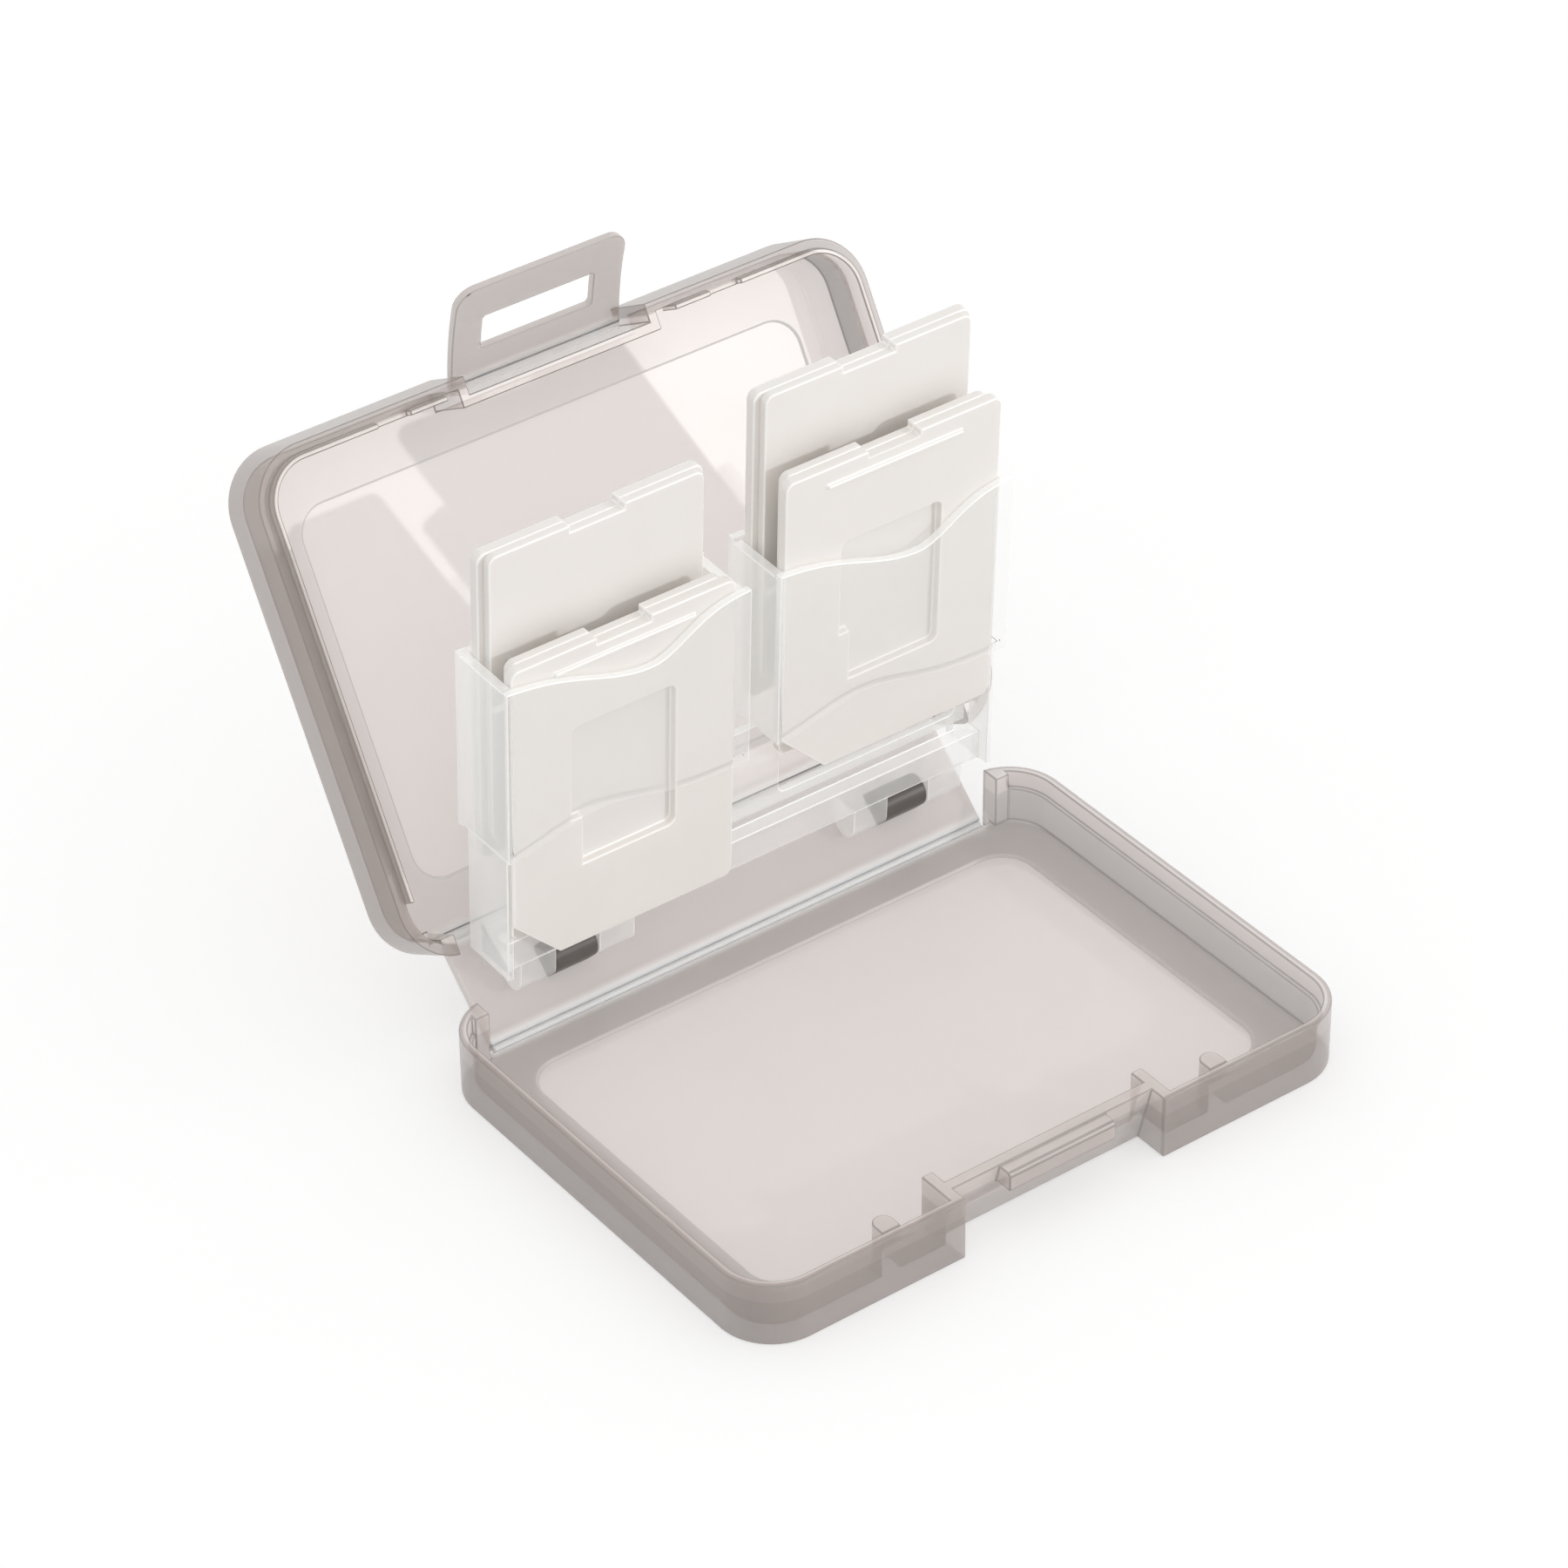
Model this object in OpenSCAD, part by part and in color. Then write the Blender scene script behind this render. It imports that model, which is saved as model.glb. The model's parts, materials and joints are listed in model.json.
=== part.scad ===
// Hinged memory card case, shown open: base, spine and lid join at two film
// hinges, a clear tray swings on the spine and holds four card inserts.
// X runs along the hinge, Y to the back, Z up. The origin is the middle of the
// face the base rests on. All sizes are millimetres.

/* [Case] */
// Width over the side walls
case_w = 66.6; // [62:0.1:75]
// Depth of the base and of the lid, front to back
case_d = 48.1; // [46.5:0.1:55]
// Outer corner radius seen from above
corner_r = 5.5; // [4:0.1:8]
// Gap between the two rims when shut
rim_gap = 0.1; // [0.05:0.05:0.5]

/* [Base] */
// Height of the base walls
base_h = 6.5; // [6.4:0.1:8]
// Wall thickness of the base
base_wall = 1.2; // [1:0.05:1.6]
// Floor thickness of the base
base_floor = 1.2; // [1:0.05:1.5]
// Wall thickness left at the rim, outside the lip's step
rim_wall = 0.8; // [0.6:0.05:0.9]
// Depth of the lip's step below the rim
rim_drop = 1.8; // [1.4:0.1:2.4]
// Width of the thinned panel in the floor
floor_panel_w = 55.6; // [45:0.1:56]
// Depth of the thinned panel in the floor
floor_panel_d = 37.4; // [30:0.1:38]
// Corner radius of the thinned panel
floor_panel_r = 3.5; // [1:0.1:6]
// Step down into the thinned panel
floor_panel_sink = 0.3; // [0.1:0.05:0.5]

/* [Lid] */
// Height of the lid walls over its outer face
lid_h = 6.3; // [6:0.1:7.5]
// Wall thickness of the lid
lid_wall = 1.0; // [0.8:0.05:1.1]
// Floor thickness of the lid
lid_floor = 0.9; // [0.7:0.05:1]
// Width of the thin label panel
label_w = 55.2; // [45:0.1:58]
// Edge of the label panel near the hinge, from the hinge line
label_near = 5.1; // [3:0.1:10]
// Length of the label panel
label_len = 35.7; // [25:0.1:37]
// Corner radius of the label panel
label_r = 3; // [1:0.1:6]
// Step into the label panel
label_sink = 0.25; // [0.1:0.05:0.4]
// Thickness of the lip inside the lid wall
lip_t = 0.5; // [0.35:0.05:0.6]
// Height that the lip stands past the lid rim
lip_out = 0.8; // [0.4:0.1:0.9]
// Height of the lip's seat below the lid rim
lip_seat = 1.7; // [1:0.1:2.5]
// Free gap in the lip for each rib of the base
lip_gap = 3.4; // [2.6:0.1:5]
// Clearance between the end of the lip and the base's recess
lip_end = 0.25; // [0.1:0.05:1]

/* [Film hinges] */
// Hinge line, in from the outer face of the back
hinge_in = 0.85; // [0.7:0.05:1.1]
// Hinge line, up from the outer face of the floor
hinge_up = 1.05; // [0.95:0.05:1.15]
// Width left open for the spine between the corner pieces
hinge_span = 57.6; // [54:0.1:60]
// Width of the rib that closes each corner piece
end_rib_w = 1.55; // [1:0.05:2.5]
// Depth of that rib
end_rib_d = 2.1; // [1.6:0.1:2.5]
// Radius of the film bead
film_r = 0.42; // [0.3:0.01:0.5]
// Thickness of the film strip
film_t = 0.45; // [0.3:0.05:0.5]
// Length of the film strip beside the bead
film_len = 0.5; // [0.46:0.01:0.8]
// How much shorter than the opening the film is, at each end
film_side = 1.0; // [0.3:0.1:3]
// Running clearance round the bead
film_run = 0.04; // [0.02:0.01:0.08]

/* [Spine] */
// Thickness of the spine panel outside its hinge plane
spine_out = 0.55; // [0.5:0.05:0.7]
// Thickness of the spine panel inside its hinge plane
spine_in = 0.45; // [0.3:0.05:0.46]
// Clearance at each end of the spine panel
spine_side = 0.9; // [0.3:0.1:2]
// Lean of the spine over level
spine_angle = 43.86; // [30:1:60]
// Lean of the lid over level
lid_angle = 59.65; // [50:1:75]

/* [Latch] */
// Width of the recess in the base front
base_notch_w = 22.1; // [21:0.1:26]
// Depth of that recess at the rim
base_notch_top = 1.85; // [1.7:0.05:2.2]
// Depth of that recess at the floor
base_notch_bottom = 3.55; // [2.5:0.05:4]
// Width of the recess in the lid front
lid_notch_w = 19.8; // [19.2:0.1:22]
// Depth of the recess in the lid front
lid_notch_d = 1.75; // [1.7:0.05:2]
// Width of the latch tab
tab_w = 18.5; // [16:0.1:19]
// Length of the latch tab
tab_len = 11.0; // [10:0.1:11.2]
// Thickness of the latch tab
tab_t = 0.8; // [0.6:0.05:0.9]
// Bow of the latch tab
tab_bow = 0.4; // [0.1:0.1:0.6]
// Corner radius at the free end of the tab
tab_r = 2; // [0.5:0.1:3.5]
// Tab hinge line, out from the recess wall
tab_out = 0.6; // [0.55:0.05:0.7]
// Tab hinge line, up from the lid's outer face
tab_up = 1.65; // [1.4:0.05:1.8]
// Lean of the tab over level
tab_angle = 100; // [80:1:120]
// Width of the catch bar
catch_w = 11.8; // [8:0.1:13]
// Height of the catch bar's lower face
catch_z = 4.4; // [4:0.1:4.6]
// Thickness of the catch bar, upward
catch_t = 1.9; // [1:0.1:2]
// Catch bar face, in from the front of the base
catch_in = 0.45; // [0.3:0.05:0.7]
// Clearance of the slot at each end of the catch bar
slot_side = 0.2; // [0.1:0.05:0.5]
// Clearance of the slot under the catch bar
slot_under = 0.25; // [0.2:0.05:0.4]
// Clearance of the slot over the catch bar
slot_over = 1.55; // [1:0.05:2]

/* [Front ribs] */
// Rib distance from the middle
rib_x = 18.2; // [15.5:0.1:24]
// Rib radius, half its width
rib_r = 1; // [0.5:0.1:1.2]
// Reach of the rib's straight part from the wall
rib_run = 1.15; // [0.5:0.05:1.4]
// Gap from the rib's top to the rim
rib_top = 0.4; // [0.3:0.1:2]

/* [Tray hinge] */
// Tray middle, right of the case middle
tray_x = 1.1; // [0:0.1:2]
// Lean of the tray over level
tray_angle = 92.48; // [85:1:100]
// Lug distance from the tray middle
lug_x = 18.8; // [12:0.1:19.5]
// Width of each lug
lug_w = 4.6; // [3:0.1:6]
// Radius of the lug and half its root
lug_r = 1.55; // [1.3:0.05:1.7]
// Pin axis, in from the hinge plane of the spine
pivot_in = 2.2; // [2.15:0.05:2.5]
// Pin radius
pin_r = 0.75; // [0.5:0.05:0.9]
// Running clearance round the pin
pin_run = 0.05; // [0.02:0.01:0.1]
// Clearance at each side of the lug
lug_side = 0.1; // [0.05:0.05:0.3]
// Width of each knuckle
knuckle_w = 3.9; // [2.5:0.1:4.5]
// Radius of each knuckle and half its thickness
knuckle_r = 1.6; // [1.3:0.05:1.65]

/* [Tray] */
// Bay middle, out from the tray middle
bay_x = 14.7; // [14:0.1:15.5]
// Lower face of the rail, up from the pin axis
rail_u = 2.3; // [2:0.1:2.8]
// Height of the rail
rail_h = 3.1; // [2:0.1:4]
// Half the thickness of the rail
rail_m = 1.85; // [1.5:0.05:1.9]
// Half the thickness of the centre wall
centre_m = 0.4; // [0.3:0.05:0.8]
// Height of the centre wall's top over the pin axis
centre_top = 30.5; // [24:0.1:31]
// Frame left round each window of the centre wall
window_side = 1.9; // [1:0.1:4]
// Height of the sill under each window
window_sill = 1.9; // [1:0.1:4]
// Height of the bar over each window
window_head = 2.5; // [1.5:0.1:5]
// Corner radius of each window
window_r = 0.8; // [0.3:0.1:2]
// Wall thickness beside the inserts, below the pockets
frame_wall = 0.6; // [0.4:0.05:0.9]
// Wall thickness beside the inserts, in the pockets
pocket_wall = 1.0; // [0.8:0.05:1.3]
// Lower edge of the pockets over the pin axis
pocket_u = 16.3; // [13:0.1:20]
// Upper corners of the pockets over the pin axis
pocket_top = 35.2; // [33.5:0.1:36]
// Thickness of the pocket panels
panel_t = 0.8; // [0.6:0.05:1]
// Depth of the finger scoop in each pocket panel
scoop = 3.8; // [1:0.1:4.5]
// Middle of the scoop, right of the bay middle
scoop_x = 2.4; // [-3:0.1:3]
// Reach of the scoop to the left
scoop_left = 9.0; // [5:0.1:10]
// Reach of the scoop to the right
scoop_right = 5.2; // [4:0.1:8]
// Rise of the arch in each panel's lower edge
arch = 2.2; // [0.5:0.1:3]
// Reach of that arch
arch_reach = 7; // [4:0.1:9]

/* [Inserts] */
// Insert width
insert_w = 24; // [23:0.1:24.4]
// Insert height
insert_h = 33.2; // [31:0.1:34]
// Thickness of the face plate
face_t = 1.15; // [0.9:0.05:1.3]
// Thickness of the back plate
back_t = 0.95; // [0.7:0.05:1.1]
// Half the space between the inserts of a bay
insert_m = 0.95; // [0.9:0.05:1.2]
// Clearance at each edge and face of an insert
insert_fit = 0.1; // [0.05:0.05:0.2]
// Gap of a seated insert over the rail
insert_seat = 0.05; // [0.02:0.01:0.1]
// How much narrower the back plate is, at each edge
back_in = 0.6; // [0.3:0.1:1]
// How much the face plate hangs below the back plate
face_drop = 2.4; // [1.5:0.1:3]
// Cut corner at the foot of the face plate
cut_corner = 5; // [3:0.1:6]
// Corner radius of the insert
insert_r = 0.9; // [0.4:0.1:1.4]
// Width of the thumb notch in the top edge
thumb_w = 5.8; // [4:0.1:8]
// Depth of the thumb notch
thumb_d = 0.7; // [0.3:0.1:1]
// Width of the card recess
slot_w = 11.3; // [11:0.1:12]
// Height of the card recess
slot_h = 15.6; // [15:0.1:16.5]
// Left edge of the card recess, in from the left edge
slot_left = 6.3; // [5:0.1:7]
// Top of the card recess, below the top edge
slot_top = 8.7; // [7:0.1:10]
// Floor left under the card recess
slot_floor = 0.3; // [0.2:0.05:0.5]
// Step in the left edge of the card recess
slot_step = 1.2; // [0.6:0.1:1.5]
// Height of that step over the foot of the recess
slot_step_u = 5.4; // [4:0.1:7]
// Corner radius of the card recess
slot_r = 0.8; // [0.3:0.1:1.2]
// Width of the grip ridge
ridge_w = 15; // [8:0.1:18]
// Grip ridge below the top edge
ridge_down = 1.7; // [1.2:0.1:3]
// Height of the grip ridge over the face
ridge_t = 0.08; // [0.04:0.01:0.09]
// Breadth of the grip ridge
ridge_b = 0.4; // [0.2:0.1:0.6]
// Front left insert, drawn out by
out_fl = 0; // [0:0.1:10]
// Front right insert, drawn out by
out_fr = 7.64; // [0:0.1:10]
// Back left insert, drawn out by
out_bl = 9.6; // [0:0.1:12]
// Back right insert, drawn out by
out_br = 14.5; // [0:0.1:15]

/* [Hidden] */
$fn = 96;
eps = 0.01;
far = 100;
hinge_y = case_d / 2 - hinge_in;
// Inner end of each lip, clear of both recesses
lip_start = max(base_notch_w / 2 + base_wall, lid_notch_w / 2 + lid_wall) + lip_end;
spine_w = base_h + rim_gap + lid_h - 2 * hinge_up;
spine_half = hinge_span / 2 - spine_side;
film_half = hinge_span / 2 - film_side;
lid_mid = case_d / 2 - hinge_in;
lid_rim = lid_h - hinge_up;
base_notch_y = -case_d / 2;
tab_s = case_d - hinge_in - lid_notch_d + tab_out;
tab_n = tab_up - hinge_up;
// Height over the base of the tab hinge with the case shut
tab_shut_z = base_h + rim_gap + lid_h - tab_up;
slot_hi = tab_shut_z - catch_z + slot_under;
slot_lo = tab_shut_z - catch_z - catch_t - slot_over;
bay_in = insert_w / 2 + insert_fit;
tray_in = bay_x + bay_in;
gap_half = bay_x - bay_in - pocket_wall;
pocket_half = bay_in + pocket_wall;
insert_face = insert_m + back_t + face_t;
pocket_m = insert_face + insert_fit;
insert_u = rail_u + rail_h + insert_seat - face_drop;

smoke = [0.55, 0.5, 0.47];
dark = [0.25, 0.23, 0.22];
clear = [0.86, 0.9, 0.88];
cream = [0.93, 0.91, 0.87];
pale = [0.8, 0.78, 0.75];

// Rounded rectangle about the origin
module rounded(w, d, r) {
    square([w - 2 * r, d], center = true);
    square([w, d - 2 * r], center = true);
    for (x = [-1, 1], y = [-1, 1]) translate([x * (w / 2 - r), y * (d / 2 - r)]) circle(r);
}

module slab(w, d, r, z0, z1) translate([0, 0, z0]) linear_extrude(z1 - z0) rounded(w, d, r);

// Bar along X with its middle at the origin
module bar(r, len) rotate([0, 90, 0]) cylinder(r = r, h = len, center = true);

// Extrudes a Y-Z outline along X from x0 to x1
module across(x0, x1) translate([x0, 0, 0]) rotate([90, 0, 90]) linear_extrude(x1 - x0) children();

module box(x0, x1, y0, y1, z0, z1) translate([x0, y0, z0]) cube([x1 - x0, y1 - y0, z1 - z0]);

module at_spine() translate([0, hinge_y, hinge_up]) rotate([spine_angle, 0, 0]) children();

module at_lid() translate([0, hinge_y + spine_w * cos(spine_angle), hinge_up + spine_w * sin(spine_angle)])
    rotate([lid_angle, 0, 0]) children();

module at_tab() at_lid() translate([0, tab_s, tab_n]) rotate([tab_angle - lid_angle, 0, 0]) children();

module at_tray() at_spine() translate([tray_x, spine_w / 2, pivot_in]) rotate([tray_angle - spine_angle, 0, 0]) children();

// Bay frame, X and outward face forward; the back bays are turned half round
module at_bay(side, face) at_tray() translate([side * bay_x, 0, 0]) rotate([0, face > 0 ? 0 : 180, 0]) children();

module film() {
    bar(film_r, 2 * film_half);
}

// Base
function notch_y(z) = base_notch_y + base_notch_bottom + (base_notch_top - base_notch_bottom) * z / base_h;

module notch_void() polygon([[base_notch_y - 5, -1], [notch_y(-1), -1], [notch_y(base_h + 1), base_h + 1], [base_notch_y - 5, base_h + 1]]);

module notch_wall() polygon([[notch_y(0), 0], [notch_y(base_h), base_h], [notch_y(base_h) + base_wall, base_h], [notch_y(0) + base_wall, 0]]);

module base_shell() color(smoke) difference() {
    union() {
        difference() {
            slab(case_w, case_d, corner_r, 0, base_h);
            slab(case_w - 2 * base_wall, case_d - 2 * base_wall, corner_r - base_wall, base_floor, base_h + 1);
            slab(case_w - 2 * rim_wall, case_d - 2 * rim_wall, corner_r - rim_wall, base_h - rim_drop, base_h + 1);
        }
        across(-base_notch_w / 2 - base_wall, base_notch_w / 2 + base_wall) notch_wall();
        for (s = [-1, 1]) translate([s * (base_notch_w + base_wall) / 2, 0, 0])
            box(-base_wall / 2, base_wall / 2, base_notch_y + eps, notch_y(0) + base_wall, 0, base_h);
        intersection() {
            slab(case_w, case_d, corner_r, 0, base_h);
            for (s = [-1, 1]) translate([s * (hinge_span + end_rib_w) / 2, 0, 0])
                box(-end_rib_w / 2, end_rib_w / 2, case_d / 2 - end_rib_d, case_d, 0, base_h);
        }
    }
    across(-base_notch_w / 2, base_notch_w / 2) notch_void();
    slab(floor_panel_w, floor_panel_d, floor_panel_r, base_floor - floor_panel_sink, base_floor + 1);
    box(-hinge_span / 2, hinge_span / 2, hinge_y - film_len, case_d, -1, base_h + 1);
}

module catch_bar() color(smoke) across(-catch_w / 2, catch_w / 2)
    polygon([[base_notch_y + catch_in, catch_z], [notch_y(catch_z), catch_z],
             [notch_y(catch_z + catch_t), catch_z + catch_t], [base_notch_y + catch_in + 0.3, catch_z + catch_t],
             [base_notch_y + catch_in, catch_z + catch_t - 0.3]]);

module front_rib(side) color(smoke) translate([side * rib_x, base_notch_y + base_wall, base_floor]) {
    h = base_h - rib_top - base_floor;
    difference() {
        union() {
            box(-rib_r, rib_r, 0, rib_run, 0, h);
            translate([0, rib_run, 0]) cylinder(r = rib_r, h = h);
        }
        box(-rib_r - 1, rib_r + 1, -1, 0, -1, h + 1);
    }
}
module front_rib_left() front_rib(-1);
module front_rib_right() front_rib(1);

module base_hinge_film() color(pale) translate([0, hinge_y, hinge_up]) {
    film();
    box(-film_half, film_half, -film_len, 0, base_floor - hinge_up - film_t, base_floor - hinge_up);
}

// Spine
module spine_panel() color(smoke) at_spine() difference() {
    box(-spine_half, spine_half, 0, spine_w - film_len, -spine_out, spine_in);
    bar(film_r + film_run, far);
    box(-far, far, -1, film_len - 0.2, spine_in - 0.2, spine_in + 1);
}

module tray_lug(side) color(dark) at_spine() translate([tray_x + side * lug_x, spine_w / 2, 0]) difference() {
    union() {
        translate([0, 0, pivot_in]) bar(lug_r, lug_w);
        box(-lug_w / 2, lug_w / 2, -lug_r, lug_r, spine_in, pivot_in);
    }
    translate([0, 0, pivot_in]) bar(pin_r + pin_run, lug_w + 1);
}
module tray_lug_left() tray_lug(-1);
module tray_lug_right() tray_lug(1);

module lid_hinge_film() color(pale) at_spine() translate([0, spine_w, 0]) {
    film();
    box(-film_half, film_half, -film_len, 0, -film_t / 2, film_t / 2);
}

// Lid
module lid_shell() color(smoke) at_lid() difference() {
    union() {
        translate([0, lid_mid, 0]) difference() {
            slab(case_w, case_d, corner_r, -hinge_up, lid_rim);
            slab(case_w - 2 * lid_wall, case_d - 2 * lid_wall, corner_r - lid_wall, lid_floor - hinge_up, lid_rim + 1);
        }
        box(-lid_notch_w / 2 - lid_wall, lid_notch_w / 2 + lid_wall,
            case_d - hinge_in - lid_notch_d - lid_wall, case_d - hinge_in - eps, -hinge_up, lid_rim);
        translate([0, lid_mid, 0]) intersection() {
            slab(case_w, case_d, corner_r, -hinge_up, lid_rim);
            for (s = [-1, 1]) translate([s * (hinge_span + end_rib_w) / 2, 0, 0])
                box(-end_rib_w / 2, end_rib_w / 2, -case_d, end_rib_d - case_d / 2, -hinge_up, lid_rim);
        }
    }
    box(-lid_notch_w / 2, lid_notch_w / 2, case_d - hinge_in - lid_notch_d, case_d, -far, far);
    translate([0, label_near + label_len / 2, 0])
        slab(label_w, label_len, label_r, lid_floor - hinge_up - label_sink, lid_floor - hinge_up + 1);
    box(-hinge_span / 2, hinge_span / 2, -far, 0, -far, far);
    box(-hinge_span / 2, hinge_span / 2, -far, end_rib_d - hinge_in, lid_floor - hinge_up, far);
    bar(film_r + film_run, hinge_span);
}

module lid_lip(side) color(smoke) at_lid() intersection() {
    translate([0, lid_mid, 0]) difference() {
        slab(case_w - 2 * lid_wall, case_d - 2 * lid_wall, corner_r - lid_wall, lid_rim - lip_seat, lid_rim + lip_out);
        slab(case_w - 2 * lid_wall - 2 * lip_t, case_d - 2 * lid_wall - 2 * lip_t, corner_r - lid_wall - lip_t, -far, far);
        translate([side * rib_x, case_d / 2, 0]) box(-lip_gap / 2, lip_gap / 2, -lid_wall - lip_t - 1, 1, lid_rim, far);
    }
    box(side > 0 ? lip_start : -case_w, side > 0 ? case_w : -lip_start, corner_r, case_d, -far, far);
}
module lid_lip_left() lid_lip(-1);
module lid_lip_right() lid_lip(1);

module latch_hinge_film() color(pale) at_lid() translate([0, tab_s, tab_n]) {
    bar(film_r, tab_w);
    box(-tab_w / 2, tab_w / 2, -tab_out, 0, -film_t / 2, film_t / 2);
}

// Latch
module tab_outline() difference() {
    union() {
        translate([-tab_w / 2, 0]) square([tab_w, tab_len - tab_r]);
        translate([-tab_w / 2 + tab_r, 0]) square([tab_w - 2 * tab_r, tab_len]);
        for (s = [-1, 1]) translate([s * (tab_w / 2 - tab_r), tab_len - tab_r]) circle(tab_r);
    }
    translate([0, (slot_lo + slot_hi) / 2]) rounded(catch_w + 2 * slot_side, slot_hi - slot_lo, 0.4);
}

module latch_tab() color(smoke) at_tab() {
    bend = (tab_len * tab_len / 4 + tab_bow * tab_bow) / (2 * tab_bow);
    difference() {
        intersection() {
            translate([0, 0, -5]) linear_extrude(10) tab_outline();
            across(-tab_w, tab_w) translate([tab_len / 2, bend - tab_bow]) difference() {
                circle(bend + tab_t / 2, $fn = 360);
                circle(bend - tab_t / 2, $fn = 360);
            }
        }
        bar(film_r + film_run, far);
        box(-far, far, -1, film_len - 0.15, 0.15, 5);
    }
}

// Tray
module tray_rail() color(clear) at_tray() box(-tray_in, tray_in, rail_u, rail_u + rail_h, -rail_m, rail_m);

module tray_centre_wall() color(clear) at_tray() translate([0, 0, -centre_m]) linear_extrude(2 * centre_m) difference() {
    lo = rail_u + rail_h;
    translate([-tray_in, lo]) square([2 * tray_in, centre_top - lo]);
    translate([-gap_half - pocket_wall, pocket_u]) square([2 * (gap_half + pocket_wall), far]);
    for (s = [-1, 1]) translate([s * bay_x, (lo + window_sill + centre_top - window_head) / 2])
        rounded(2 * (bay_in - window_side), centre_top - window_head - lo - window_sill, window_r);
}

module tray_side(side) color(clear) at_tray() {
    a = side > 0 ? tray_in : -tray_in - frame_wall;
    b = side > 0 ? tray_in : -tray_in - pocket_wall;
    box(a, a + frame_wall, rail_u, pocket_u, -insert_face, insert_face);
    box(b, b + pocket_wall, pocket_u, pocket_top - 0.3, -pocket_m, pocket_m);
}
module tray_side_left() tray_side(-1);
module tray_side_right() tray_side(1);

module tray_divider(side) color(clear) at_tray() {
    a = side > 0 ? gap_half : -gap_half - pocket_wall;
    box(a, a + pocket_wall, pocket_u, pocket_top - 0.6, -pocket_m, pocket_m);
}
module tray_divider_left() tray_divider(-1);
module tray_divider_right() tray_divider(1);

function top_u(x) = pocket_top - scoop * exp(-pow((x - scoop_x) / (x < scoop_x ? scoop_left : scoop_right), 2));
function low_u(x) = pocket_u + arch * exp(-pow((x + 3) / arch_reach, 2)) - arch * exp(-pow((pocket_half - 3) / arch_reach, 2));

module pocket_panel(side, face) color(clear) at_bay(side, face) translate([0, 0, pocket_m]) linear_extrude(panel_t) {
    n = 26;
    polygon(concat([for (i = [0 : n]) let (x = pocket_half * (2 * i / n - 1)) [x, top_u(x)]],
                   [for (i = [n : -1 : 0]) let (x = pocket_half * (2 * i / n - 1)) [x, low_u(x)]]));
}
module pocket_front_left() pocket_panel(-1, 1);
module pocket_front_right() pocket_panel(1, 1);
module pocket_back_left() pocket_panel(-1, -1);
module pocket_back_right() pocket_panel(1, -1);

module knuckle(x0) color(clear) at_tray() {
    translate([x0 + knuckle_w / 2, 0, 0]) bar(knuckle_r, knuckle_w);
    box(x0, x0 + knuckle_w, 0, rail_u, -knuckle_r, knuckle_r);
}
knuckle_gap = lug_w / 2 + lug_side;
module knuckle_left_outer() knuckle(-lug_x - knuckle_gap - knuckle_w);
module knuckle_left_inner() knuckle(-lug_x + knuckle_gap);
module knuckle_right_inner() knuckle(lug_x - knuckle_gap - knuckle_w);
module knuckle_right_outer() knuckle(lug_x + knuckle_gap);

module hinge_pin(side) color(clear) at_tray() translate([side * lug_x, 0, 0]) bar(pin_r, 2 * knuckle_gap);
module hinge_pin_left() hinge_pin(-1);
module hinge_pin_right() hinge_pin(1);

// Inserts
module thumb() translate([-thumb_w / 2, insert_h - thumb_d]) square([thumb_w, 2 * thumb_d]);

module face_outline() difference() {
    translate([0, insert_h / 2]) rounded(insert_w, insert_h, insert_r);
    polygon([[-insert_w / 2 - 1, -1], [-insert_w / 2 + cut_corner + 1, -1], [-insert_w / 2 - 1, cut_corner + 1]]);
    thumb();
}

module back_outline() difference() {
    w = insert_w - 2 * back_in;
    translate([0, (insert_h + face_drop) / 2]) rounded(w, insert_h - face_drop, insert_r);
    thumb();
}

module card_recess() difference() {
    translate([-insert_w / 2 + slot_left + slot_w / 2, insert_h - slot_top - slot_h / 2]) rounded(slot_w, slot_h, slot_r);
    translate([-insert_w / 2 + slot_left - 1, insert_h - slot_top - slot_h - 1]) square([1 + slot_step, 1 + slot_step_u]);
}

module insert_face_plate(side, face, out) color(cream) at_bay(side, face) translate([0, insert_u + out, insert_m + back_t]) {
    difference() {
        linear_extrude(face_t) face_outline();
        translate([0, 0, slot_floor]) linear_extrude(face_t) card_recess();
    }
    box(-ridge_w / 2, ridge_w / 2, insert_h - ridge_down - ridge_b, insert_h - ridge_down, face_t - eps, face_t + ridge_t);
}

module insert_back_plate(side, face, out) color(cream) at_bay(side, face) translate([0, insert_u + out, insert_m])
    linear_extrude(back_t) back_outline();

module insert_front_left_face() insert_face_plate(-1, 1, out_fl);
module insert_front_left_back() insert_back_plate(-1, 1, out_fl);
module insert_front_right_face() insert_face_plate(1, 1, out_fr);
module insert_front_right_back() insert_back_plate(1, 1, out_fr);
module insert_back_left_face() insert_face_plate(-1, -1, out_bl);
module insert_back_left_back() insert_back_plate(-1, -1, out_bl);
module insert_back_right_face() insert_face_plate(1, -1, out_br);
module insert_back_right_back() insert_back_plate(1, -1, out_br);

base_shell();
catch_bar();
front_rib_left();
front_rib_right();
base_hinge_film();
spine_panel();
tray_lug_left();
tray_lug_right();
lid_hinge_film();
lid_shell();
lid_lip_left();
lid_lip_right();
latch_hinge_film();
latch_tab();
tray_rail();
tray_centre_wall();
tray_side_left();
tray_side_right();
tray_divider_left();
tray_divider_right();
pocket_front_left();
pocket_front_right();
pocket_back_left();
pocket_back_right();
knuckle_left_outer();
knuckle_left_inner();
knuckle_right_inner();
knuckle_right_outer();
hinge_pin_left();
hinge_pin_right();
insert_front_left_face();
insert_front_left_back();
insert_front_right_face();
insert_front_right_back();
insert_back_left_face();
insert_back_left_back();
insert_back_right_face();
insert_back_right_back();
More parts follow.
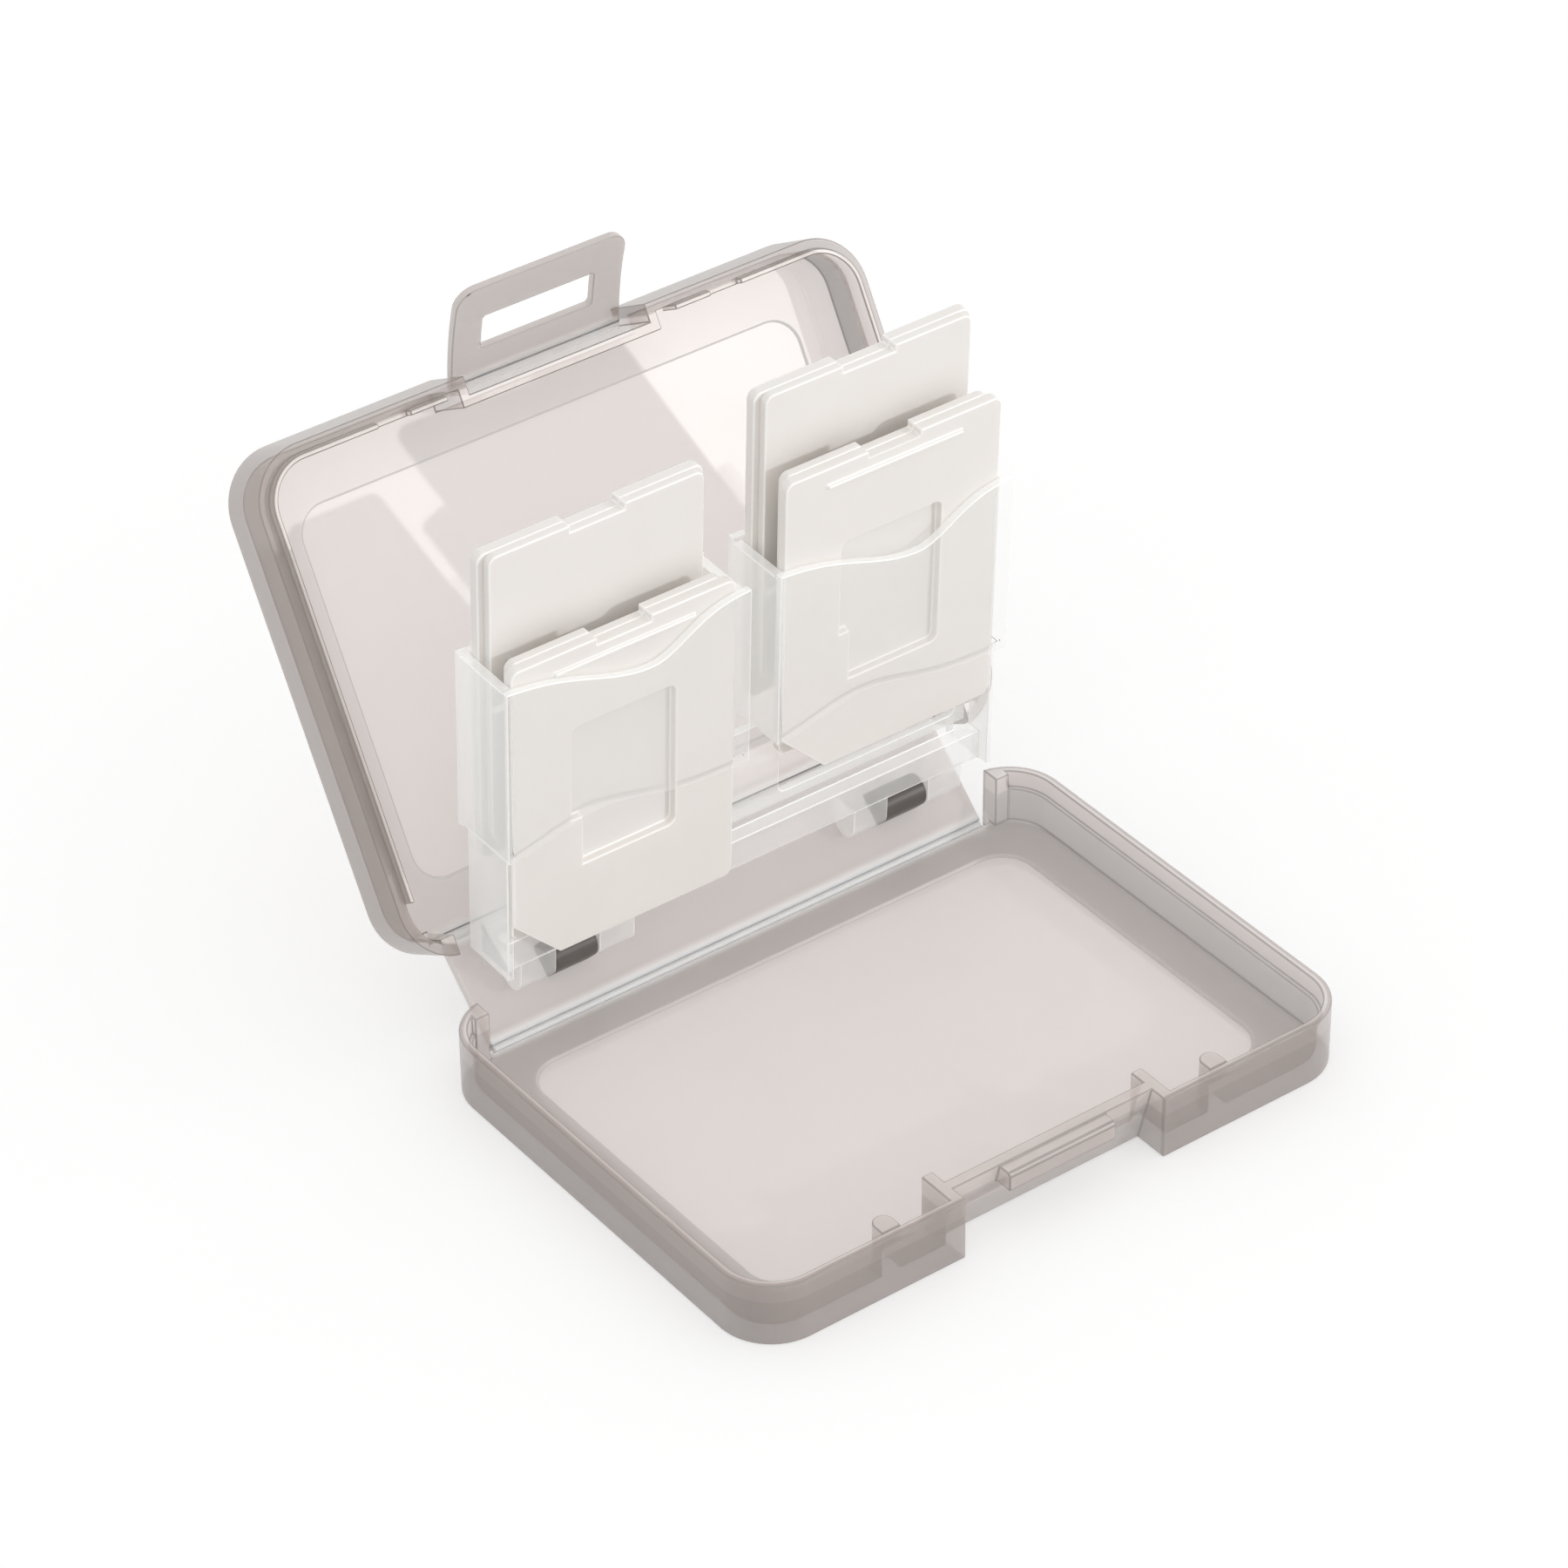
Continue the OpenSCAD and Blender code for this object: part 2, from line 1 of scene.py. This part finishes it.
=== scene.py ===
"""Hinged memory card case: smoke plastic base, spine and lid, a clear tray on the spine, four card inserts."""
import json
import math

import bmesh
import bpy
from mathutils import Matrix, Vector

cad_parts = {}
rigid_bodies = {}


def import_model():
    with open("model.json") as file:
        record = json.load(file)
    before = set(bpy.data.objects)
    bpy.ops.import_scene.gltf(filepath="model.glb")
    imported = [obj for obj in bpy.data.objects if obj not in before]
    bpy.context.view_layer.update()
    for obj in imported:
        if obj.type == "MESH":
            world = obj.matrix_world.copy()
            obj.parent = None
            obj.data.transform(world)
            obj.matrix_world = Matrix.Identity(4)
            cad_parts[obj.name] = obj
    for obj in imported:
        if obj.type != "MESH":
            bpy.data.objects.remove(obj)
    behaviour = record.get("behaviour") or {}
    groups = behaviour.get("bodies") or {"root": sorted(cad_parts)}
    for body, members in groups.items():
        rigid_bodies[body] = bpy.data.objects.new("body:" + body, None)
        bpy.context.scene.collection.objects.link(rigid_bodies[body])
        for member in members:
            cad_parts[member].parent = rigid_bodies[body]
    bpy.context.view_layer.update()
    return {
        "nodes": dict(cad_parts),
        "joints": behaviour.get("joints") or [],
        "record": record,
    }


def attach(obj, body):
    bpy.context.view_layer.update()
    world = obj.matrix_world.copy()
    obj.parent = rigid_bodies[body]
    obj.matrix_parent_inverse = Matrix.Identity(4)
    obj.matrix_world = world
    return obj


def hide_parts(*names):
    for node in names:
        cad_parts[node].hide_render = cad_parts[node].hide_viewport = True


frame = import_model()
MM = 0.001


# Base
# The lower half of the case: one injection moulding in smoke polypropylene, with the catch bar
# in its latch recess and two ribs behind the front wall. The thin floor panel lets more light through.
class Wire:
    """A shader socket that can be written in sums and products; each operator adds its node."""

    def __init__(self, tree, socket=None):
        self.tree, self.socket = tree, socket

    def node(self, kind, settings=None, values=None, out=0):
        made = self.tree.nodes.new(kind)
        for key, value in (settings or {}).items():
            setattr(made, key, value)
        for key, value in (values or {}).items():
            if isinstance(value, Wire):
                self.tree.links.new(value.socket, made.inputs[key])
            else:
                made.inputs[key].default_value = value
        return Wire(self.tree, made.outputs[out])

    def maths(self, operation, *values):
        return self.node("ShaderNodeMath", {"operation": operation}, dict(enumerate(values)))

    def __add__(self, other): return self.maths("ADD", self, other)
    def __radd__(self, other): return self.maths("ADD", other, self)
    def __sub__(self, other): return self.maths("SUBTRACT", self, other)
    def __rsub__(self, other): return self.maths("SUBTRACT", other, self)
    def __mul__(self, other): return self.maths("MULTIPLY", self, other)
    def __rmul__(self, other): return self.maths("MULTIPLY", other, self)
    def __abs__(self): return self.maths("ABSOLUTE", self)
    def __pow__(self, other): return self.maths("POWER", self, other)
    def least(self, other): return self.maths("MINIMUM", self, other)
    def most(self, other): return self.maths("MAXIMUM", self, other)

    def rise(self, low, high):
        """0 below low, 1 above high, smooth between."""
        return self.node("ShaderNodeMapRange", {"interpolation_type": "SMOOTHSTEP"},
                         {"Value": self, "From Min": low, "From Max": high})

    def along(self, direction, origin=(0, 0, 0)):
        """The distance of a point from the origin, measured in one direction."""
        away = self.node("ShaderNodeVectorMath", {"operation": "SUBTRACT"}, {0: self, 1: origin})
        return away.node("ShaderNodeVectorMath", {"operation": "DOT_PRODUCT"}, {0: away, 1: direction}, out="Value")

    def noise(self, scale, detail=2.0):
        return self.node("ShaderNodeTexNoise", {}, {"Vector": self, "Scale": scale, "Detail": detail})

    def mix(self, a, b):
        """Colour a where this is 0, colour b where it is 1."""
        return self.node("ShaderNodeMix", {"data_type": "RGBA"}, {"Factor": self, 6: a, 7: b}, out=2)


x_axis, y_axis, z_axis = (1, 0, 0), (0, 1, 0), (0, 0, 1)


def plate_edge(x, y, width, depth, radius):
    """How far a point lies outside a rounded rectangle round the origin; negative inside."""
    qx, qy = abs(x) - (width / 2 - radius), abs(y) - (depth / 2 - radius)
    ox, oy = qx.most(0.0), qy.most(0.0)
    return (ox * ox + oy * oy) ** 0.5 + qx.most(qy).least(0.0) - radius


def rgb(*levels):
    """A colour from its sRGB values out of 255."""
    return tuple((v / 255 / 12.92 if v <= 10 else ((v / 255 + 0.055) / 1.055) ** 2.4) for v in levels) + (1.0,)


class Plastic:
    """A material with its Principled shader and the object's own coordinates."""

    def __init__(self, name, scatter=0.0, depth=1.2 * MM):
        self.material = bpy.data.materials.new(name)
        self.material.use_nodes = True
        self.tree = self.material.node_tree
        self.shader = self.tree.nodes["Principled BSDF"]
        self.point = Wire(self.tree).node("ShaderNodeTexCoord", out="Object")
        self.normal = Wire(self.tree).node("ShaderNodeTexCoord", out="Normal")
        self.front = 1.0 - Wire(self.tree).node("ShaderNodeNewGeometry", out="Backfacing")
        self.feed(IOR=1.49, Subsurface_Weight=scatter, Subsurface_Radius=(1.0, 0.92, 0.88), Subsurface_Scale=depth)

    def feed(self, **inputs):
        for name, value in inputs.items():
            socket = self.shader.inputs[name.replace("_", " ")]
            if isinstance(value, Wire):
                self.tree.links.new(value.socket, socket)
            else:
                socket.default_value = value

    def satin(self, rough, swing=0.10, bump=0.05):
        """Mould-surface roughness with slow clouds and a fine grain."""
        clouds, grain = self.point.noise(60.0, 2.0), self.point.noise(2400.0, 1.0)
        self.feed(Roughness=rough + (clouds - 0.5) * swing,
                  Normal=grain.node("ShaderNodeBump", {}, {"Height": grain, "Strength": bump, "Distance": 0.01 * MM}))


smoke_pale, smoke_dark, bent_white = rgb(234, 224, 220), rgb(158, 147, 142), rgb(250, 248, 246)
bent_core, bent_reach, bent_cover = 0.55 * MM, 1.5 * MM, 0.9
hinge_lines = {joint["name"]: joint["pos_m"] for joint in frame["joints"] if joint["name"].endswith(("fold", "hinge"))}
film_halves = {"fold": 27.8 * MM, "lid_hinge": 27.8 * MM, "latch_hinge": 8.6 * MM}


def bent(point, hinge):
    """1 on a film hinge's line, where bending has whitened the plastic, and 0 away from it."""
    x, y, z = (point.along(axis, hinge_lines[hinge]) for axis in (x_axis, y_axis, z_axis))
    past_end = (abs(x) - film_halves[hinge]).most(0.0)
    return 1.0 - ((past_end * past_end + y * y + z * z) ** 0.5).rise(bent_core, bent_reach)


def smoke(name, wall, hinges, dark=smoke_dark, panel_alpha=0.60, wall_alpha=0.74):
    """Smoke plastic: wall is 1 where the light has a long way through it, 0 in thin panels."""
    plastic = Plastic(name, scatter=1.0)
    cloud = plastic.point.noise(90.0, 3.0)
    thick = (wall(plastic.point) + (cloud - 0.5) * 0.10).most(0.0).least(1.0)
    colour, alpha = thick.mix(smoke_pale, dark), thick * (wall_alpha - panel_alpha) + panel_alpha
    for hinge in hinges:
        white = bent(plastic.point, hinge)
        colour = white.mix(colour, bent_white)
        alpha = alpha + white * (bent_cover - alpha)
    plastic.feed(Base_Color=colour, Alpha=alpha * plastic.front)
    plastic.satin(0.32)
    return plastic.material


def rounded_edge(name, dark, light, alpha, painted_glow=0.0, flush=None):
    """The narrow rounded edges of a clear or smoke moulding, where light gathers or is bent away, with that light
    painted in: painted shade on smoke edges, painted highlight and an emission on clear and white ones, which are no
    lamp.
    flush is 1 where an edge is only the low step round a thin panel, and doesn't show as a line."""
    plastic = Plastic(name)
    colour, cover = plastic.point.noise(200.0, 3.0).mix(dark, light), alpha
    if flush:
        step, step_colour, step_alpha = flush(plastic.point), rgb(200, 190, 185), 0.66
        colour, cover = step.mix(colour, step_colour), alpha - step * (alpha - step_alpha)
    # Painted light: the edge colour is painted shade or painted highlight, and the emission makes the edge shine as if
    # lit.
    plastic.feed(Base_Color=colour, Alpha=cover * plastic.front, Emission_Color=light, Emission_Strength=painted_glow)
    plastic.satin(0.26)
    return plastic.material


def closed_copy(node, grow):
    """A welded copy of a CAD node's mesh, grown by a hair so that touching solids fuse."""
    work = bmesh.new()
    work.from_mesh(frame["nodes"][node].data)
    bmesh.ops.remove_doubles(work, verts=work.verts, dist=0.002 * MM)
    bmesh.ops.dissolve_limit(work, angle_limit=math.radians(0.6), verts=work.verts, edges=work.edges)
    bmesh.ops.triangulate(work, faces=[f for f in work.faces if len(f.verts) > 4])
    work.normal_update()
    if grow:
        for vertex, move in [(v, v.normal * grow * v.calc_shell_factor()) for v in work.verts]:
            vertex.co += move
    mesh = bpy.data.meshes.new(node + "_copy")
    work.to_mesh(mesh)
    work.free()
    copy = bpy.data.objects.new(node + "_copy", mesh)
    bpy.context.scene.collection.objects.link(copy)
    return copy


def settled(piece):
    """Gives a piece the mesh that its modifiers make, and clears them."""
    shape = bpy.data.meshes.new_from_object(piece.evaluated_get(bpy.context.evaluated_depsgraph_get()))
    piece.modifiers.clear()
    piece.data = shape


def moulded(name, nodes, skin, rim, edge, detail=None):
    """One moulding from touching CAD solids, with the small radius that a mould leaves on every edge.
    Its faces get the material skin, and the rounded edges get rim. detail may change its corners first."""
    grow = 0.004 * MM if len(nodes) > 1 else 0
    piece = closed_copy(nodes[0], grow)
    piece.name = name
    for node in nodes[1:]:
        part = closed_copy(node, grow)
        fuse = piece.modifiers.new("fuse", "BOOLEAN")
        fuse.operation, fuse.solver, fuse.object = "UNION", "EXACT", part
        settled(piece)
        bpy.data.objects.remove(part)
    work = bmesh.new()
    work.from_mesh(piece.data)
    bmesh.ops.remove_doubles(work, verts=work.verts, dist=0.012 * MM)
    bmesh.ops.dissolve_degenerate(work, edges=work.edges, dist=0.005 * MM)
    bmesh.ops.dissolve_limit(work, angle_limit=math.radians(0.8), verts=work.verts, edges=work.edges)
    if detail:
        detail(work.verts)
    for face in work.faces:
        face.material_index = 0
    work.to_mesh(piece.data)
    work.free()
    piece.data.materials.clear()
    for material in (skin, rim):
        piece.data.materials.append(material)
    radius = piece.modifiers.new("mould radius", "BEVEL")
    radius.width, radius.segments, radius.material = edge, 2, 1
    radius.limit_method, radius.angle_limit = "ANGLE", math.radians(35)
    radius.use_clamp_overlap = False
    settled(piece)
    piece.data.shade_smooth()
    flat = piece.modifiers.new("flat faces", "WEIGHTED_NORMAL")
    flat.weight = 80
    settled(piece)
    return piece


def seat(piece, nodes, body):
    """Puts a piece in the assembly in the stead of its CAD nodes."""
    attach(piece, body)
    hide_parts(*nodes)


def fitted(name, nodes, body, skin, rim, edge):
    seat(moulded(name, nodes, skin, rim, edge), nodes, body)


case_width, case_depth, base_ledge = 66.6 * MM, 48.1 * MM, 4.7 * MM
base_outline = {"width": case_width, "depth": case_depth, "radius": 5.5 * MM}
floor_panel = {"width": 55.6 * MM, "depth": 37.4 * MM, "radius": 3.5 * MM}
blur = 0.05 * MM


def base_wall(point):
    """Thick in the floor's border and the inner walls, thicker at the outside, less so over the ledge."""
    x, y = point.along(x_axis), point.along(y_axis)
    border = plate_edge(x, y, **floor_panel).rise(-blur, blur)
    outside = plate_edge(x, y, **base_outline).rise(-0.5 * MM, -0.3 * MM)
    band = point.along(z_axis).rise(base_ledge - blur, base_ledge + blur)
    return border * 0.68 + outside * 0.29 - band * (0.26 - outside * 0.16)


def near(distance):
    """1 within half a millimetre of a panel's outline, and 0 a little further off."""
    return 1.0 - abs(distance).rise(0.5 * MM, 0.6 * MM)


def floor_step(point):
    return near(plate_edge(point.along(x_axis), point.along(y_axis), **floor_panel))


smoke_base = smoke("smoke plastic, base", base_wall, ["fold"])
# Painted shade: the rounded edges of the base and the tab are painted darker than their faces, so they show as dark
# lines.
smoke_edge_shade = rounded_edge("smoke plastic, edges with painted shade", rgb(148, 140, 135), rgb(168, 160, 155), 0.8, flush=floor_step)
base_nodes = ("base_shell", "catch_bar", "front_rib_left", "front_rib_right")
fitted("base_moulding", base_nodes, "base", smoke_base, smoke_edge_shade, 0.14 * MM)

# Base hinge film
# The thin web of the same plastic that joins the base to the spine, moulded with both.
# It has been bent so often that it has gone white.
film = Plastic("bent film", scatter=1.0)
film.feed(Base_Color=film.point.noise(300.0, 3.0).mix(rgb(252, 250, 248), rgb(236, 232, 229)), Alpha=0.92 * film.front)
film.satin(0.38)
film_edge = 0.05 * MM
fitted("base_film", ("base_hinge_film",), "base", film.material, film.material, film_edge)

# Spine
# The narrow back panel between the two film hinges, in the same shot of smoke plastic as base and lid.
# It goes white along both hinges, and carries the film that it shares with the lid.
smoke_spine = smoke("smoke plastic, spine", lambda point: 0.5, ["fold", "lid_hinge"])
fitted("spine_moulding", ("spine_panel",), "spine", smoke_spine, smoke_spine, 0.10 * MM)
fitted("lid_film", ("lid_hinge_film",), "spine", film.material, film.material, film_edge)

# Lugs
# Two lugs on the inside of the spine, with a bore each for the tray's pins.
# They are thick, so the same smoke plastic looks nearly black and dull in them.
lug = Plastic("dark lug")
lug.feed(Base_Color=lug.point.noise(400.0, 2.0).mix(rgb(106, 100, 95), rgb(84, 79, 75)), Alpha=0.97)
lug.satin(0.42)
for side in ("left", "right"):
    fitted("lug_" + side, ("tray_lug_" + side,), "spine", lug.material, lug.material, 0.12 * MM)

# Lid
# The upper half: a shell in smoke plastic like the base, with a thin panel for a label
# and a lip in two runs that steps into the base's rim when it shuts.
lid_angle = math.radians(59.65)
lid_up = (0, math.cos(lid_angle), math.sin(lid_angle))
label = {"width": 55.2 * MM, "depth": 35.7 * MM, "radius": 3 * MM}
label_middle = 5.1 * MM + label["depth"] / 2
lid_wall_t, lid_hinge_in = 1.05 * MM, 0.85 * MM
lid_plate = {"width": case_width - 2 * lid_wall_t, "depth": case_depth - 2 * lid_wall_t, "radius": 4.5 * MM}
lid_middle = case_depth / 2 - lid_hinge_in


def from_label(x, up):
    return plate_edge(x, up - label_middle, **label)


def lid_wall(point):
    """A little thick in the border round the label, and thick in the walls."""
    x, up = point.along(x_axis), point.along(lid_up, hinge_lines["lid_hinge"])
    border = from_label(x, up).rise(-blur, blur)
    wall = plate_edge(x, up - lid_middle, **lid_plate).rise(-0.2 * MM, 0.1 * MM)
    return border * 0.22 + wall * 0.78


def label_step(point):
    return near(from_label(point.along(x_axis), point.along(lid_up, hinge_lines["lid_hinge"])))


lid_dark = rgb(150, 136, 128)
smoke_lid = smoke("smoke plastic, lid", lid_wall, ["lid_hinge"], lid_dark, panel_alpha=0.62)
# Painted shade: the lid's rounded edges are painted darker than its faces, so they show as dark lines.
lid_edge_shade = rounded_edge("smoke plastic, lid edges with painted shade", rgb(128, 118, 111), rgb(148, 138, 131), 0.84, flush=label_step)
lid_nodes = ("lid_shell", "lid_lip_left", "lid_lip_right")
fitted("lid_moulding", lid_nodes, "lid", smoke_lid, lid_edge_shade, 0.12 * MM)
fitted("latch_film", ("latch_hinge_film",), "lid", film.material, film.material, film_edge)

# Latch tab
# A thin bowed tab, part of the lid's moulding, which hangs on its own film hinge.
# Its slot drops over the catch bar of the base.
smoke_tab = smoke("smoke plastic, tab", lambda point: 0.75, ["latch_hinge"], lid_dark)
fitted("tab_moulding", ("latch_tab",), "latch", smoke_tab, smoke_edge_shade, 0.12 * MM)

# Tray
# One clear, lightly frosted moulding: rail, centre wall, sides, pockets, knuckles and pins.
# Its edges and side walls look whiter than its panels, because there the light runs along inside the plastic; that
# light is painted in, as painted highlight and an emission.
tray_angle = math.radians(92.48)
tray_front = (0, math.sin(tray_angle), -math.cos(tray_angle))
tray_up, rail_top = (0, math.cos(tray_angle), math.sin(tray_angle)), 5.4 * MM
clear = Plastic("clear plastic")
facing = abs(clear.normal.along(tray_front)).rise(0.45, 0.9)
below = 1.0 - clear.point.along(tray_up, hinge_lines["tray_hinge"]).rise(rail_top, rail_top + 0.2 * MM)
side_alpha, panel_alpha, rail_alpha = 0.64, 0.26, 0.46
# Painted light: the emission makes the side walls shine brighter than the faces, standing in for light carried inside
# the plastic.
clear.feed(Base_Color=clear.point.noise(120.0, 3.0).mix(rgb(255, 255, 253), rgb(250, 250, 248)),
           Alpha=(side_alpha - facing * ((side_alpha - panel_alpha) - below * (rail_alpha - panel_alpha))) * clear.front,
           Emission_Color=facing.mix(rgb(255, 255, 253), rgb(120, 120, 118)), Emission_Strength=0.13)
clear.satin(0.24)
tray_nodes = tuple(frame["record"]["behaviour"]["bodies"]["tray"])
# Painted highlight: the tray's rounded edges are painted near white, with a little emission.
clear_edge_highlight = rounded_edge("clear plastic, edges with painted highlight", rgb(250, 251, 249), rgb(255, 255, 254), 0.93, painted_glow=0.10)
fitted("tray_moulding", tray_nodes, "tray", clear.material, clear_edge_highlight, 0.10 * MM)

# Inserts
# Four card holders in warm white satin plastic, held in the tray's pockets by a light fit.
# Each is one moulding, a face plate with a recess for a small card and a narrower back plate.
white = Plastic("warm white plastic", scatter=0.3, depth=0.6 * MM)
white.feed(Base_Color=white.point.noise(150.0, 3.0).mix(rgb(245, 241, 237), rgb(240, 236, 231)))
white.satin(0.42)
# Painted highlight: the inserts' rounded edges are painted whiter than their faces, with a little emission.
white_edge_highlight = rounded_edge("warm white plastic, edges with painted highlight", rgb(250, 247, 244), rgb(255, 253, 250), 1.0, painted_glow=0.05)
grip_lift = 0.28 * MM


def grip(outward):
    """Lifts the crown of the grip ridge, the part of a face plate that stands out furthest."""
    def lift(corners):
        crown = max(corner.co.dot(outward) for corner in corners) - 0.03 * MM
        for corner in corners:
            if corner.co.dot(outward) > crown:
                corner.co += outward * grip_lift
    return lift


def plate(at, side, detail=None):
    return moulded(f"{side}_{at}", (f"insert_{at}_{side}",), white.material, white_edge_highlight, 0.14 * MM, detail)


def holder(at):
    """One insert. Its two plates are rounded each by itself, so that the seam between them shows."""
    outward = -Vector(tray_front) if at.startswith("front") else Vector(tray_front)
    face, back = plate(at, "face", grip(outward)), plate(at, "back")
    stacked = bmesh.new()
    stacked.from_mesh(face.data)
    stacked.from_mesh(back.data)
    stacked.to_mesh(face.data)
    stacked.free()
    bpy.data.objects.remove(back)
    face.name = "holder_" + at
    return face


for at in ("front_left", "front_right", "back_left", "back_right"):
    seat(holder(at), (f"insert_{at}_face", f"insert_{at}_back"), "insert_" + at)

# Stage
# A white table that keeps the case's shadow, under an even white sky.
# Rays that see the background find both a little brighter than they light the case.
table = bpy.data.materials.new("white table")
table.use_nodes = True
table.node_tree.nodes.clear()
table_wire = Wire(table.node_tree)
table_lift, table_half, ambient = 0.33, 3.0, 0.85


def background_ray(tree):
    path = Wire(tree).node("ShaderNodeLightPath").socket.node
    rays = ("Is Camera Ray", "Is Glossy Ray", "Is Transmission Ray")
    camera_ray, glossy_ray, through_ray = (Wire(tree, path.outputs[name]) for name in rays)
    return camera_ray.most(glossy_ray).most(through_ray)


paper = table_wire.node("ShaderNodeBsdfDiffuse", {}, {"Color": (0.8, 0.8, 0.8, 1)})
lift = table_wire.node("ShaderNodeEmission", {}, {"Strength": background_ray(table.node_tree) * table_lift})
lifted_paper = table_wire.node("ShaderNodeAddShader", {}, {0: paper, 1: lift})
surface = table.node_tree.nodes.new("ShaderNodeOutputMaterial")
table.node_tree.links.new(lifted_paper.socket, surface.inputs["Surface"])
top = bpy.data.meshes.new("table")
corners = [(x * table_half, y * table_half, 0) for x, y in ((-1, -1), (1, -1), (1, 1), (-1, 1))]
top.from_pydata(corners, [], [(0, 1, 2, 3)])
top.materials.append(table)
table_top = bpy.data.objects.new("table", top)
table_top.location.z = -0.02 * MM
bpy.context.scene.collection.objects.link(table_top)

sky = bpy.data.worlds.new("sky")
bpy.context.scene.world = sky
sky.use_nodes = True
sky_light = sky.node_tree.nodes["Background"]
sky_light.inputs["Color"].default_value = (1, 1, 1, 1)
strength = background_ray(sky.node_tree) * (1 - ambient) + ambient
sky.node_tree.links.new(strength.socket, sky_light.inputs["Strength"])

# Key lamp
# One small lamp far off to the front right, low enough to throw the inserts' shadows on the lid,
# and flagged off the table.
to_lamp, lamp_distance, lamp_strength = Vector((0.545, -0.778, 0.314)).normalized(), 1.5, 0.24
lamp_data = bpy.data.lights.new("key", "AREA")
lamp_data.size, lamp_data.energy = 0.02, lamp_strength * math.pi ** 2 * lamp_distance ** 2
lamp = bpy.data.objects.new("key", lamp_data)
lamp.location = Vector((0, 0.02, 0.03)) + to_lamp * lamp_distance
lamp.rotation_mode = "QUATERNION"
lamp.rotation_quaternion = to_lamp.to_track_quat("Z", "Y")
bpy.context.scene.collection.objects.link(lamp)
lit = bpy.data.collections.new("lit by the key lamp")
for piece in bpy.context.scene.collection.all_objects:
    if piece.type == "MESH" and piece is not table_top:
        lit.objects.link(piece)
lamp.light_linking.receiver_collection = lit

# Camera
# A long lens from the front left and above, where the photograph was taken.
# Its tilts and its place are those of the photograph's camera, in degrees and millimetres.
azimuth, elevation, roll = map(math.radians, (-36.53, 36.26, -0.64))
camera_place = Vector((-260.18, -334.82, 342.73)) * MM
back = Vector((math.sin(azimuth) * math.cos(elevation), -math.cos(azimuth) * math.cos(elevation), math.sin(elevation)))
right = Vector((0, 0, 1)).cross(back).normalized()
up = back.cross(right)
turn = Matrix((right * math.cos(roll) + up * math.sin(roll), up * math.cos(roll) - right * math.sin(roll), back))
camera_data = bpy.data.cameras.new("camera")
camera_data.sensor_width, camera_data.lens = 36, 139.56
camera_data.clip_start, camera_data.clip_end = 0.01, 20
camera = bpy.data.objects.new("camera", camera_data)
camera.matrix_world = Matrix.Translation(camera_place) @ turn.transposed().to_4x4()
bpy.context.scene.collection.objects.link(camera)
bpy.context.scene.camera = camera

bpy.context.scene.view_settings.view_transform = "Standard"
